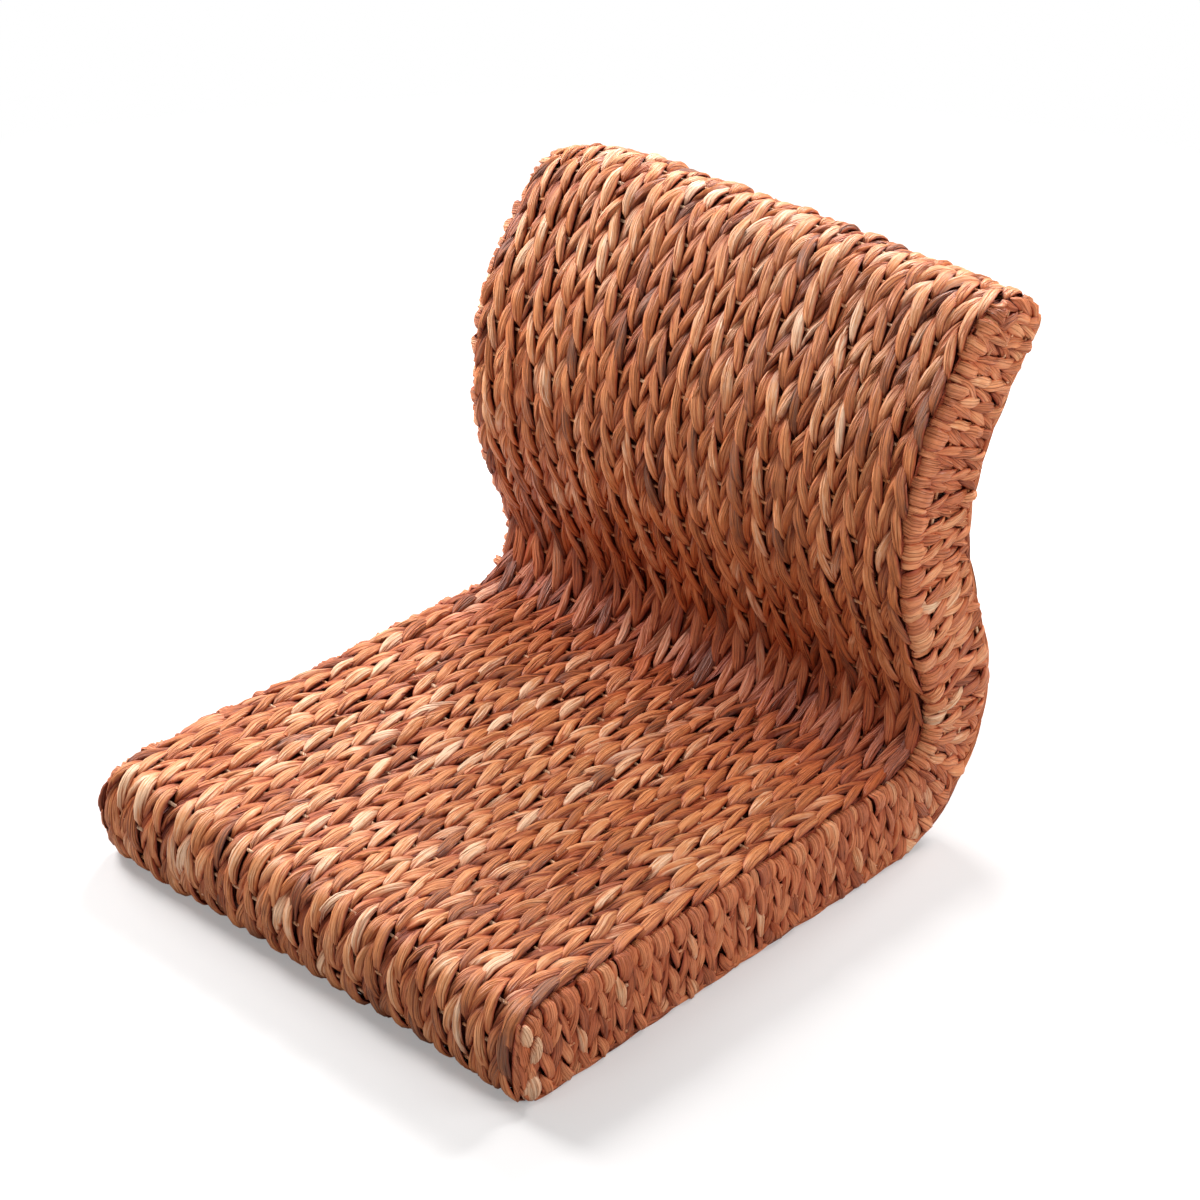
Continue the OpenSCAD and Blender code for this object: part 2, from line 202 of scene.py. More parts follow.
def insideCorners(a, v):  # keeps a spot of a side within the rounded corners of the outline
    length = middle["length"]
    for atTop, corner, up in sideCorners:
        radius = outline[corner]
        centreA = length - radius if atTop else radius
        centreV = up * (halfThick - radius)
        pastA = (a - centreA) * (1 if atTop else -1)
        pastV = (v - centreV) * up
        pull = np.clip(np.maximum(pastA, pastV), 0, radius) / np.maximum(np.hypot(pastA, pastV), 1e-6)
        pull = np.where((pastA > 0) & (pastV > 0), pull, 1)
        a = centreA + (a - centreA) * pull
        v = centreV + (v - centreV) * pull
    return np.clip(a, 0, length), np.clip(v, -halfThick, halfThick)


def onSide(hand):
    def place(spot):  # a along the middle, d down across the side, height over the side's backing
        a, v = insideCorners(spot[..., 0], -spot[..., 1])
        heading = np.interp(a, middle["s"], middle["a"])
        y = np.interp(a, middle["s"], middle["y"]) - v * np.sin(heading)
        z = np.interp(a, middle["s"], middle["z"]) + v * np.cos(heading)
        nose = handMade["nose"] * (1 - easeIn(a, *handMade["noseFromFront"])) * (1 - (v / halfThick) ** 2)
        return uneven(hand * (faceWidth / 2 + spot[..., 2]), y - nose, z)
    return place


def justScaled(spots):
    return spots * mm


# Shader sums. A Wire is a socket that takes part in them.
class Wire:
    def __init__(self, tree, socket=None):
        self.tree = tree
        self.socket = socket

    def make(self, kind, settings=None, out=0, **values):
        node = self.tree.nodes.new(kind)
        for name, value in (settings or {}).items():
            if name == "stops":
                stops = node.color_ramp.elements
                while len(stops) < len(value):
                    stops.new(0.5)
                for stop, (place, colour) in zip(stops, value):
                    stop.position = place
                    stop.color = colour
            else:
                setattr(node, name, value)
        for name, value in values.items():
            numbered = name[0] == "n" and name[1:].isdigit()
            socket = node.inputs[int(name[1:]) if numbered else name.replace("_", " ")]
            if isinstance(value, Wire):
                self.tree.links.new(value.socket, socket)
            else:
                socket.default_value = value
        return Wire(self.tree, node.outputs[out] if node.outputs else None)

    def sum(self, operation, first, second=0.0, clamp=False):
        return self.make("ShaderNodeMath", dict(operation=operation, use_clamp=clamp), n0=first, n1=second)

    def __add__(self, other):
        return self.sum("ADD", self, other)

    def __radd__(self, other):
        return self.sum("ADD", other, self)

    def __sub__(self, other):
        return self.sum("SUBTRACT", self, other)

    def __rsub__(self, other):
        return self.sum("SUBTRACT", other, self)

    def __mul__(self, other):
        return self.sum("MULTIPLY", self, other)

    def __rmul__(self, other):
        return self.sum("MULTIPLY", other, self)

    def __truediv__(self, other):
        return self.sum("DIVIDE", self, other)

    def __pow__(self, other):
        return self.sum("POWER", self, other)

    def held(self):  # kept between 0 and 1
        return self.sum("ADD", self, 0.0, clamp=True)

    def spread(self, low, high):  # low to high becomes 0 to 1
        return ((self - low) / (high - low)).held()


def newMaterial(name, **constants):
    made = bpy.data.materials.new(name)
    made.use_nodes = True
    shader = made.node_tree.nodes["Principled BSDF"]
    for socket, value in constants.items():
        shader.inputs[socket.replace("_", " ")].default_value = value
    return made, Wire(made.node_tree), shader


def plug(bench, shader, **wires):
    for socket, wire in wires.items():
        bench.tree.links.new(wire.socket, shader.inputs[socket.replace("_", " ")])


def tint(red, green, blue):  # a colour as the screen shows it, to the linear one that the shader takes
    linear = [((c / 255 + 0.055) / 1.055) ** 2.4 if c > 10 else c / 255 / 12.92 for c in (red, green, blue)]
    return (*linear, 1)


leafLook = dict(
    dark=tint(138, 88, 62), brown=tint(185, 108, 63), rust=tint(216, 132, 78),
    tan=tint(233, 160, 108), straw=tint(246, 201, 164), places=(0.0, 0.28, 0.52, 0.76, 1.0),
    fine=(0.95, 0.045, 1.0), broad=(0.42, 0.03, 1.0),  # streaks: scale across, scale along, detail
    patch=(0.18, 0.12, 3.0), split=(0.46, 0.014, 0.0), splitEdge=(0.012, 0.045), streakRough=0.6,
    patchTone=0.45, broadTone=0.35, fineTone=0.85, splitTone=0.08, grain=1.0,
    # painted shade: the least light a leaf is painted with, how it reddens as the shade deepens, and the
    # darkening along the splits
    hollow=0.22, splitDark=0.32, redDepth=0.78, greenDepth=1.56, blueDepth=1.84,
    warmGreen=0.09, warmBlue=0.2,
    ribs=0.0017, relief=0.9, fineRib=1.1, broadRib=0.7, splitRib=0.7,
    sheen=0.38, rough=0.66, broadRough=0.16, splitRough=0.2, litRough=0.12,
)
sideLook = dict(
    leafLook, dark=tint(154, 84, 54), brown=tint(194, 109, 68), rust=tint(224, 136, 88),
    tan=tint(240, 166, 116), straw=tint(250, 208, 168), grain=0.5,
)


def leafMaterial(name, look):  # a leaf mesh carries its fibre, its tone, which holds a painted sheen on the faces, and its painted shade
    made, bench, shader = newMaterial(name, Specular_IOR_Level=look["sheen"])

    def carried(what, out):
        return bench.make("ShaderNodeAttribute", dict(attribute_name=what), out=out)

    def streaks(key):
        across, along, detail = look[key]
        scale, rough = (across, along, 1.0), look["streakRough"]
        scaled = bench.make("ShaderNodeVectorMath", dict(operation="MULTIPLY"), n0=fibre, n1=scale)
        return bench.make("ShaderNodeTexNoise", Vector=scaled, Scale=1.0, Detail=detail, Roughness=rough)

    fibre, tone, shade = carried("fibre", "Vector"), carried("tone", "Fac"), carried("shade", "Fac")
    fine, broad, patch = streaks("fine"), streaks("broad"), streaks("patch")
    split = 1 - bench.sum("ABSOLUTE", streaks("split") - 0.5).spread(*look["splitEdge"])
    mixed = tone + (patch - 0.5) * look["patchTone"] + (broad - 0.5) * look["broadTone"]
    mixed = mixed + (fine - 0.5) * (look["fineTone"] * look["grain"]) - split * look["splitTone"]
    colours = [look[key] for key in ("dark", "brown", "rust", "tan", "straw")]
    stops = list(zip(look["places"], colours))
    base = bench.make("ShaderNodeValToRGB", dict(stops=stops), Fac=mixed.held())
    # Painted shade: where the shade attribute is low, and along the split grooves, the leaf is painted
    # darker and redder; the base colour is multiplied by it.
    depth = look["hollow"] + (1 - look["hollow"]) * shade
    depth = depth * (1 - look["splitDark"] * look["grain"] * split)
    seed = bench.make("ShaderNodeSeparateXYZ", out="Z", Vector=fibre)
    warm = bench.make("ShaderNodeTexWhiteNoise", dict(noise_dimensions="1D"), W=seed) - 0.5
    light = bench.make(
        "ShaderNodeCombineColor", Red=depth ** look["redDepth"],
        Green=depth ** look["greenDepth"] - look["warmGreen"] * warm,
        Blue=depth ** look["blueDepth"] - look["warmBlue"] * warm,
    )
    product = dict(data_type="RGBA", blend_type="MULTIPLY")
    baseWithPaintedShade = bench.make("ShaderNodeMix", product, out=2, n0=1.0, n6=base, n7=light)
    height = fine * look["fineRib"] + broad * look["broadRib"] - split * look["splitRib"]
    relief = bench.make("ShaderNodeBump", Strength=look["relief"], Distance=look["ribs"], Height=height)
    rough = look["rough"] - look["broadRough"] * broad + look["splitRough"] * split
    rough = rough - look["litRough"] * shade
    plug(bench, shader, Base_Color=baseWithPaintedShade, Roughness=rough, Normal=relief)
    return made


leafMat = leafMaterial("twined leaf", leafLook)
sideMat = leafMaterial("twined side leaf", sideLook)

cordLook = dict(
    pale=tint(222, 164, 122), shadow=tint(150, 88, 56), palePlace=0.9, shadowPlace=0.1, rough=0.7,
    twist=240.0, wander=1.5, twistShare=0.6, fluff=900.0, fluffDetail=2.0, fluffShare=0.5,
    relief=0.6, ribs=0.0004,
)


def cordMaterial(name, look):
    made, bench, shader = newMaterial(name, Roughness=look["rough"])
    spot = bench.make("ShaderNodeTexCoord", out="Object")
    twist = bench.make(
        "ShaderNodeTexWave", dict(wave_type="BANDS", bands_direction="DIAGONAL"),
        Vector=spot, Scale=look["twist"], Distortion=look["wander"],
    )
    fluff = bench.make("ShaderNodeTexNoise", Vector=spot, Scale=look["fluff"], Detail=look["fluffDetail"])
    banded = bench.make("ShaderNodeSeparateColor", Color=twist)
    mixed = (banded * look["twistShare"] + fluff * look["fluffShare"]).held()
    stops = [(look["shadowPlace"], look["shadow"]), (look["palePlace"], look["pale"])]
    base = bench.make("ShaderNodeValToRGB", dict(stops=stops), Fac=mixed)
    relief = bench.make("ShaderNodeBump", Strength=look["relief"], Distance=look["ribs"], Height=mixed)
    plug(bench, shader, Base_Color=base, Normal=relief)
    return made


steelLook = dict(
    paint=(0.018, 0.017, 0.016, 1), rust=(0.11, 0.05, 0.03, 1), rustEdge=(0.62, 0.72),
    cloud=90.0, cloudDetail=4.0, speck=900.0, speckDetail=1.0,
    rough=0.42, rustRough=0.35, rustRib=0.5, relief=0.4, ribs=0.0002,
)


def steelMaterial(name, look):
    made, bench, shader = newMaterial(name)
    spot = bench.make("ShaderNodeTexCoord", out="Object")
    cloud = bench.make("ShaderNodeTexNoise", Vector=spot, Scale=look["cloud"], Detail=look["cloudDetail"])
    speck = bench.make("ShaderNodeTexNoise", Vector=spot, Scale=look["speck"], Detail=look["speckDetail"])
    rust = cloud.spread(*look["rustEdge"])
    colours = dict(data_type="RGBA")
    base = bench.make("ShaderNodeMix", colours, out=2, n0=rust, n6=look["paint"], n7=look["rust"])
    height = speck + rust * look["rustRib"]
    relief = bench.make("ShaderNodeBump", Strength=look["relief"], Distance=look["ribs"], Height=height)
    plug(bench, shader, Base_Color=base, Roughness=look["rough"] + look["rustRough"] * rust, Normal=relief)
    return made


cordMat = cordMaterial("leaf cord", cordLook)
steelMat = steelMaterial("painted rod", steelLook)
for nodeName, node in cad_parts.items():  # the hidden cords and rods keep the CAD's shapes
    if any(word in nodeName for word in ("cords", "loop", "bar", "struts")):
        node.data.materials.clear()
        node.data.materials.append(cordMat if "cords" in nodeName else steelMat)
print("materials made")


# One leaf is a closed tube. Every leaf of the weave is a copy of it, bent to its own path.
leafBlankSize = dict(sides=8, spans=8)
leafSection = dict(  # from the right edge over the top to the left edge, and back underneath
    wide=[1, 0.78, 0.28, -0.28, -0.78, -1, -0.45, 0.45],
    high=[0.0, 0.48, 0.6, 0.6, 0.48, 0.0, -0.36, -0.36],
    light=[0.16, 1, 1, 1, 1, 0.16, 0.12, 0.12],  # painted shade: the edges and the underside are darker than the middle
    edges=(0, 5), uneven=0.13,
)


def cornerOf(x, y, sides):
    return np.rint(np.arctan2(y, x) / (2 * np.pi) * sides).astype(int) % sides


def tubeBlank(sides, spans):
    bm = bmesh.new()
    bmesh.ops.create_cone(bm, cap_ends=True, segments=sides, radius1=1, radius2=1, depth=1)
    upright = [e for e in bm.edges if abs(e.verts[0].co.z - e.verts[1].co.z) > 0.5]
    for e in upright:
        e.smooth = cornerOf(e.verts[0].co.x, e.verts[0].co.y, sides) not in leafSection["edges"]
    bmesh.ops.subdivide_edges(bm, edges=upright, cuts=spans - 1, use_grid_fill=True)
    mesh = bpy.data.meshes.new("tube blank")
    bm.to_mesh(mesh)
    bm.free()
    return mesh


blank = tubeBlank(**leafBlankSize)
blankSpots = np.array([v.co[:] for v in blank.vertices])
blankStation = np.rint((blankSpots[:, 2] + 0.5) * leafBlankSize["spans"]).astype(int)
blankCorner = cornerOf(blankSpots[:, 0], blankSpots[:, 1], leafBlankSize["sides"])
blankWide, blankHigh, blankLight = (
    np.array(leafSection[key])[blankCorner] for key in ("wide", "high", "light")
)
stations = np.linspace(0, 1, leafBlankSize["spans"] + 1)


def unit(v):
    return v / np.maximum(np.linalg.norm(v, axis=-1, keepdims=True), 1e-9)


def leafVertices(leaves):  # bends the blank to each leaf's path, still in the skin's own coordinates
    path = leaves["path"]
    heading = unit(np.gradient(path, axis=1))
    across = np.zeros_like(path)
    across[..., 0] = leaves["lengthwise"][:, None]
    across[..., 1] = leaves["lengthwise"][:, None] - 1
    across = unit(across - (across * heading).sum(-1, keepdims=True) * heading)
    outward = np.cross(across, heading)
    roll = np.radians(leaves["roll"])[..., None]
    wide = np.cos(roll) * across - np.sin(roll) * outward
    up = np.cos(roll) * outward + np.sin(roll) * across
    half = leaves["width"][:, blankStation] / 2 * blankWide
    rise = leaves["thick"][:, blankStation] * (blankHigh + leaves["folds"][:, blankCorner])
    spots = path[:, blankStation] + wide[:, blankStation] * half[..., None]
    spots = spots + up[:, blankStation] * rise[..., None]
    steps = np.cumsum(np.linalg.norm(np.diff(path, axis=1), axis=-1), axis=1)
    along = np.concatenate([np.zeros((len(path), 1)), steps], axis=1)[:, blankStation]
    seed = np.repeat(leaves["seed"][:, None], len(blankStation), axis=1)
    return spots, np.stack([half + leaves["skew"][:, None] * along, along, seed], -1)


def addFloat(mesh, name, values, kind="FLOAT", field="value"):
    data = mesh.attributes.new(name, kind, "POINT").data
    data.foreach_set(field, np.ascontiguousarray(values, dtype=np.float32).ravel())


facePaintedLight = dict(
    bendMiddle=seatFront - 405, bendReach=80, bendShade=0.5,  # painted shade in the bend behind the seat
    seatIn=(seatBack - 20, seatBack + 60), seatOut=(seatFront - 10, seatFront + 40),
    seatPaintedSheen=0.17, seatDeeper=0.5, topIn=(850, 880), topOut=(950, 1010), topPaintedSheen=0.2,
    toRight=(-60, 150), rightLess=0.75, litFrom=0.55,  # painted sheen: lit leaves are paler on the left, where light falls
)
sidePaintedLight = dict(
    endReach=6, endLight=0.85,  # painted light: at its two ends a side shows the edges of its leaves, so their painted shade is lifted
    # painted shade on the front part of a side, along the seat, lifting towards the back
    front=0.84, backMore=0.16, toBack=(380, 520),
)
# the painted shade level of the cord sights, which is not taken from their depth
cordLight = 0.95
backGrain = dict(across=1, along=0.3, seed=11)


# Painted light on the faces: painted shade in the bend, a painted sheen that pales the lit leaves of the
# seat and the top edge towards the left, and deeper painted shade on the seat.
def faceLight(spots, tone, shade):
    f, x, s = facePaintedLight, spots[..., 0], spots[..., 1]
    shade = shade * (1 - f["bendShade"] * bell(s, f["bendMiddle"], f["bendReach"]))
    seat = within(s, f["seatIn"], f["seatOut"])
    pale = f["seatPaintedSheen"] * seat + f["topPaintedSheen"] * within(s, f["topIn"], f["topOut"])
    tone = tone + pale * (1 - f["rightLess"] * easeIn(x, *f["toRight"])) * easeIn(shade, f["litFrom"], 1)
    return tone, shade ** (1 + f["seatDeeper"] * seat)


# Painted light on the sides: lifted at the two ends, and painted shade towards the front.
def sideLight(spots, tone, shade):
    f, a = sidePaintedLight, spots[..., 0]
    end = 1 - np.clip(np.minimum(a, middle["length"] - a) / f["endReach"], 0, 1)
    shade = shade + (f["endLight"] - shade) * end
    return tone, shade * (f["front"] + f["backMore"] * easeIn(a, *f["toBack"]))


# the tails take the painted shade of a side's front
def tailLight(spots, tone, shade):
    return tone, shade * sidePaintedLight["front"]


# How each kind of piece is placed and given its painted light. Holes has the heights of full painted shade
# and of full light; the tails have no holes, so both lie far below them.
ridge = dict(down=22, reach=12, lift=0.75)  # near its two ridges a side takes less painted hole shade
faceKind = dict(place=onSkin, light=faceLight, material=leafMat, slot="woven_leaf", holes=(-3.4, 3.2))
sideKind = dict(light=sideLight, material=sideMat, slot="side_leaf", holes=(2.2, 8.2), lift=ridge["lift"])
tailKind = dict(place=justScaled, light=tailLight, material=sideMat, slot="tail_leaf", holes=(-1000, -900))


def weavePiece(name, nodes, leaves, backing, place, light, material, slot, holes, lift=0, reverse=False):
    spots, fibre = leafVertices(leaves)
    # Painted shade: the deeper a leaf lies the darker it is painted, times its darker edges and underside;
    # a cord sight keeps one level.
    height = spots[..., 2] + lift * np.clip(np.abs(spots[..., 1]) - ridge["down"], 0, ridge["reach"])
    shade = np.clip((height - holes[0]) / (holes[1] - holes[0]), 0, 1)
    shade = np.where(leaves["lengthwise"][:, None] > 0, shade, cordLight) * blankLight
    tone = np.repeat(leaves["tone"][:, None], spots.shape[1], axis=1)
    tone, shade = light(spots, tone, shade)
    backMesh, backSpots, backTone, backShade = backing
    bm = bmesh.new()
    for _ in spots:
        bm.from_mesh(blank)
    bm.from_mesh(backMesh)
    if reverse:
        bmesh.ops.reverse_faces(bm, faces=bm.faces[:])
    mesh = bpy.data.meshes.new(name)
    bm.to_mesh(mesh)
    bm.free()
    mesh.vertices.foreach_set("co", np.concatenate([place(spots).reshape(-1, 3), place(backSpots)]).ravel())
    addFloat(mesh, "tone", np.concatenate([tone.ravel(), np.full(len(backSpots), backTone)]))
    addFloat(mesh, "shade", np.concatenate([shade.ravel(), np.full(len(backSpots), backShade)]))
    backFibre = backSpots * (backGrain["across"], backGrain["along"], 0) + (0, 0, backGrain["seed"])
    addFloat(mesh, "fibre", np.concatenate([fibre.reshape(-1, 3), backFibre]), "FLOAT_VECTOR", "vector")
    mesh.polygons.foreach_set("use_smooth", [True] * len(mesh.polygons))
    mesh.materials.append(material)
    mesh.update()
    piece = bpy.data.objects.new(name, mesh)
    bpy.context.collection.objects.link(piece)
    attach(piece, "root")
    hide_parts(*nodes)


# How one leaf runs over its cord, from the tucked end to the end that dives into the next hole.
overLeaf = dict(  # leans down to the right and lies on top at both of its edges
    stops=[0, 0.12, 0.3, 0.55, 0.78, 0.92, 1],
    along=[-0.74, -0.48, -0.12, 0.23, 0.58, 0.88, 1.04],  # in stitches
    aside=[-5.0, -4.3, -2.3, -0.4, 1.4, 3.5, 4.8],
    height=[-1.3, 0.3, 1.8, 2.1, 1.4, 0.2, -1.9],
    width=[0.8, 5.0, 9.2, 10.0, 8.2, 4.8, 1.0],
    thick=[0.8, 1.8, 2.7, 3.0, 2.8, 2.2, 1.2],
    roll=[-14, -10, -5, 3, 10, 15, 18],
    crumple=1,
)
underLeaf = dict(  # leans the other way; its broad upper end and its tip are tucked in
    stops=[0, 0.12, 0.3, 0.55, 0.78, 0.92, 1],
    along=[-0.92, -0.66, -0.37, 0.00, 0.42, 0.78, 0.96],
    aside=[-6.6, -5.3, -2.9, 0.3, 2.9, 4.1, 4.7],
    height=[-3.8, -2.6, -1.2, -0.2, -0.5, -1.6, -3.2],
    width=[6.4, 9.8, 10.8, 10.2, 7.0, 3.2, 0.5],
    thick=[1.5, 2.3, 3.2, 3.6, 3.0, 2.0, 1.0],
    roll=[-18, -16, -11, -3, 7, 13, 16],
    crumple=1.8,
)
leafChance = dict(  # how much leaves differ, as shares, mm or degrees
    aside=0.12, asideShift=0.45, along=0.06, alongShift=1.0, lift=0.55, sway=0.6, wave=0.3,
    width=0.12, ragged=0.04, thick=0.15, roll=8, twist=12, skew=0.05,
)
leafForm = dict(fuller=1.25, skew=0.06, seeds=400)
strandTone = dict(
    middle=0.52, differs=0.14, splices=0.22, darkShare=0.1, darker=0.26, each=0.1, ends=(0.06, 0.94),
)


def foldsOf(count):  # lengthwise ridges, each leaf's own; the two edges stay
    folds = chance.normal(0, leafSection["uneven"], (count, leafBlankSize["sides"]))
    folds[:, list(leafSection["edges"])] = 0
    return folds


def seedsOf(count):
    return chance.rand(count) * leafForm["seeds"]


def strandTones(count):  # two strands take turns in a row, and each is spliced now and then
    t = strandTone
    tones = np.zeros(count)
    for strand in (0, 1):
        tone = chance.normal(t["middle"], t["differs"])
        for k in range(strand, count, 2):
            if chance.rand() < t["splices"]:
                tone = chance.normal(t["middle"], t["differs"])
            tones[k] = tone
    dark = chance.rand(count) < t["darkShare"]
    tones = np.where(dark, tones - t["darker"], tones) + chance.normal(0, t["each"], count)
    return np.clip(tones, *t["ends"])


def leavesOver(shape, spots, twist, stitch, spread=1.0, scale=1.0, broad=1.0, rise=0.0):
    # spots holds, for each leaf, its row's middle and the place of its cord
    c, count = leafChance, len(spots)

    def table(name):
        return np.tile(np.interp(stations, shape["stops"], shape[name]), (count, 1))

    def vary(name, width=1):
        return chance.normal(0, c[name], (count, width)) * spread

    path = np.stack([
        spots[:, :1] + twist * scale * table("aside") * (1 + vary("aside")) + vary("asideShift"),
        spots[:, 1:] + table("along") * stitch * (1 + vary("along")) + vary("alongShift"),
        rise + table("height") * scale + vary("lift") * np.sin(np.pi * stations) ** 2,
    ], -1)
    path[..., 0] += vary("sway") * np.sin(2 * np.pi * stations)
    path[..., 2] += vary("wave") * np.sin(2 * np.pi * stations)
    width = table("width") * scale * np.reshape(broad, (-1, 1)) * (1 + vary("width"))
    return dict(
        path=path,
        width=width * (1 + vary("ragged", len(stations))),
        thick=table("thick") * leafForm["fuller"] * scale * (1 + vary("thick")),
        roll=twist * table("roll") + vary("roll") + vary("twist") * (stations - 0.5),
        folds=foldsOf(count) * shape["crumple"],
        lengthwise=np.ones(count),
        skew=twist * leafForm["skew"] + chance.normal(0, c["skew"], count),
        seed=seedsOf(count),
        tone=strandTones(count),
    )


# The pale cord shows for a few millimetres in each V.
cordSight = dict(
    aside=-0.4, before=1.2, height=-0.4, length=8.0, thick=2.6, flat=0.9, skew=0.8,
    tone=0.8, toneEnds=(0.5, 1.2), shiftBy=0.5, liftBy=0.3, thickBy=0.08, toneBy=0.12,
)


def cordSights(places, middles, scale=1.0, rise=0.0):
    c, count = cordSight, len(places)
    x = middles[:, None] + scale * (c["aside"] + (stations - 0.5) * c["length"])
    x = x + chance.normal(0, c["shiftBy"], (count, 1))
    height = rise + scale * c["height"] + chance.normal(0, c["liftBy"], (count, 1))
    path = np.stack([x, np.broadcast_to((places + c["before"])[:, None], x.shape), height + 0 * x], -1)
    thick = c["thick"] * scale * (1 + chance.normal(0, c["thickBy"], (count, 1))) * np.ones(len(stations))
    return dict(
        path=path, width=thick, thick=thick * c["flat"], roll=np.zeros_like(x), folds=foldsOf(count),
        lengthwise=np.zeros(count), skew=np.full(count, c["skew"]), seed=seedsOf(count),
        tone=np.clip(chance.normal(c["tone"], c["toneBy"], count), *c["toneEnds"]),
    )


def joined(groups):
    return {key: np.concatenate([g[key] for g in groups]) for key in groups[0]}


def backingGrid(columns, rows):
    bm = bmesh.new()
    bmesh.ops.create_grid(bm, x_segments=columns, y_segments=rows, size=1)
    mesh = bpy.data.meshes.new("backing")
    bm.to_mesh(mesh)
    bm.free()
    return mesh, np.array([v.co[:] for v in mesh.vertices])


# The faces: rows of stitches round the ring, over cords that run across.
faceWeave = dict(
    stitch=26.0, seatIn=(seatBack - 30, seatBack + 30), seatOut=(seatFront - 20, seatFront + 20),
    seatOver=0.04, seatUnder=0.16,  # the seat's leaves are broader
)
# The floor of the holes: inner strands, in painted shade.
ringFloor = dict(
    depth=-4.0, wave=0.8, underSide=2.6, tone=0.3, shade=0.25,
    whole=0.999999,  # a whole round would start again at 0
)
stitchCount = round(ring["length"] / faceWeave["stitch"])
stitchLen = ring["length"] / stitchCount
cordPlaces = np.arange(stitchCount) * stitchLen


def ringBacking(middleX, rows, hand=0):  # the inner strands, seen only as the floor of the holes and darkened with painted shade
    f = ringFloor
    mesh, flat = backingGrid(2 * rows, 2 * stitchCount)
    under = hand * f["underSide"] * np.clip(hand * flat[:, 0], 0, 1)  # an edge row's goes under the side
    spots = np.stack([
        middleX + flat[:, 0] * rows * rowWidth / 2 + under,
        (flat[:, 1] + 1) / 2 * ring["length"] * f["whole"],
        f["depth"] + f["wave"] * np.cos(flat[:, 0] * rows * np.pi),
    ], -1)
    return mesh, spots, f["tone"], f["shade"]


def faceRow(middleX, twist):
    over = twist > 0
    spots = np.stack([np.full(stitchCount, middleX), cordPlaces], -1)
    seat = within(cordPlaces, faceWeave["seatIn"], faceWeave["seatOut"])
    broad = 1 + faceWeave["seatOver" if over else "seatUnder"] * seat
    return leavesOver(overLeaf if over else underLeaf, spots, twist, stitchLen, broad=broad)


for i in range(1, outline["plaits"] + 1):
    centre = (i - (outline["plaits"] + 1) / 2) * 2 * rowWidth
    rows = [faceRow(centre - rowWidth / 2, 1), faceRow(centre + rowWidth / 2, -1)]
    leaves = joined(rows + [cordSights(cordPlaces, np.full(stitchCount, centre))])
    weavePiece(f"plait_{i}", [f"weft_plait_{i}"], leaves, ringBacking(centre, 2), **faceKind)
for name, hand in (("left", -1), ("right", 1)):
    centre = hand * (outline["plaits"] + 0.5) * rowWidth
    backing = ringBacking(centre, 1, hand)
    weavePiece(f"edge_row_{name}", [f"weft_edge_row_{name}"], faceRow(centre, hand), backing, **faceKind)
print("faces woven:", stitchCount, "stitches round")


# The woven sides: rows across the thickness, with loops over the ridge.
sideWeave = dict(
    columns=47, cords=(11.5, -7.2, -26.0), stitch=18.7, scale=0.86, broad=1.12, rise=5.6, loopSpread=0.7,
    footAlong=[-0.62, -0.44, -0.16, 0.10, 0.24, 0.33, 0.38],  # leaves over the lowest cord are short
    tone=0.5, toneBy=0.16, toneEnds=(0.05, 0.95),
)
ridgeLoop = dict(
    stops=[0, 0.15, 0.35, 0.6, 0.82, 1],
    along=[-30.0, -31.8, -31.0, -26.5, -19.0, -13.0],
    aside=[0, 0, 0, 0, 0, 0],
    height=[-3.0, 0.3, 3.4, 6.2, 6.0, 2.4],
    width=[9.0, 11.0, 12.8, 12.8, 10.8, 5.5],
    thick=[3, 3.5, 4.0, 4.0, 3.6, 2.6],
    roll=[0, 0, 0, 0, 0, 0],
    crumple=1,
)
ridgeTuck = dict(  # a narrower loop, sunk between two others
    ridgeLoop,
    along=[-30, -31.6, -30.6, -26, -20, -15],
    height=[-3, -0.6, 2.0, 4.2, 3.8, 1.5],
    width=[5.4, 6.4, 7.2, 7.2, 6.0, 3.5],
)
footBinding = dict(
    pieces=25, length=46, margin=4, down=31.8, rise=5.6, ends=1.6, wide=5.2, thick=4.4, sway=0.5, swayLen=9,
    taperStops=[0, 0.12, 0.5, 0.88, 1], taper=[0.35, 0.85, 1, 0.85, 0.35], skew=0.15, tone=0.4,
    downBy=0.4, rollBy=8, toneBy=0.12,
)
# The floor under a side's leaves, in painted shade.
sideFloor = dict(
    columns=180, rows=8, margin=0.2, rise=1.6, lowDrop=1.6, highRise=0.9, steep=4, tone=0.3, shade=0.3,
)


def footStrand():  # one long strand binds the lower edge; it is laid in short lengths
    f, count = footBinding, footBinding["pieces"]
    start = np.arange(count) * (middle["length"] - 2 * f["margin"]) / count
    a = f["margin"] + start[:, None] + stations * f["length"]
    a = np.minimum(a, middle["length"] - f["margin"])
    d = f["down"] + chance.normal(0, f["downBy"], (count, 1)) + f["sway"] * np.sin(a / f["swayLen"])
    path = np.stack([a, d, f["rise"] - f["ends"] * np.abs(2 * stations - 1) ** 3 + 0 * a], -1)
    taper = np.interp(stations, f["taperStops"], f["taper"])
    return dict(
        path=path, width=f["wide"] * taper + 0 * a, thick=f["thick"] * taper + 0 * a,
        roll=chance.normal(0, f["rollBy"], (count, 1)) + 0 * a, folds=foldsOf(count),
        lengthwise=np.zeros(count), skew=np.full(count, f["skew"]), seed=seedsOf(count),
        tone=np.clip(chance.normal(f["tone"], f["toneBy"], count), 0, 1),
    )


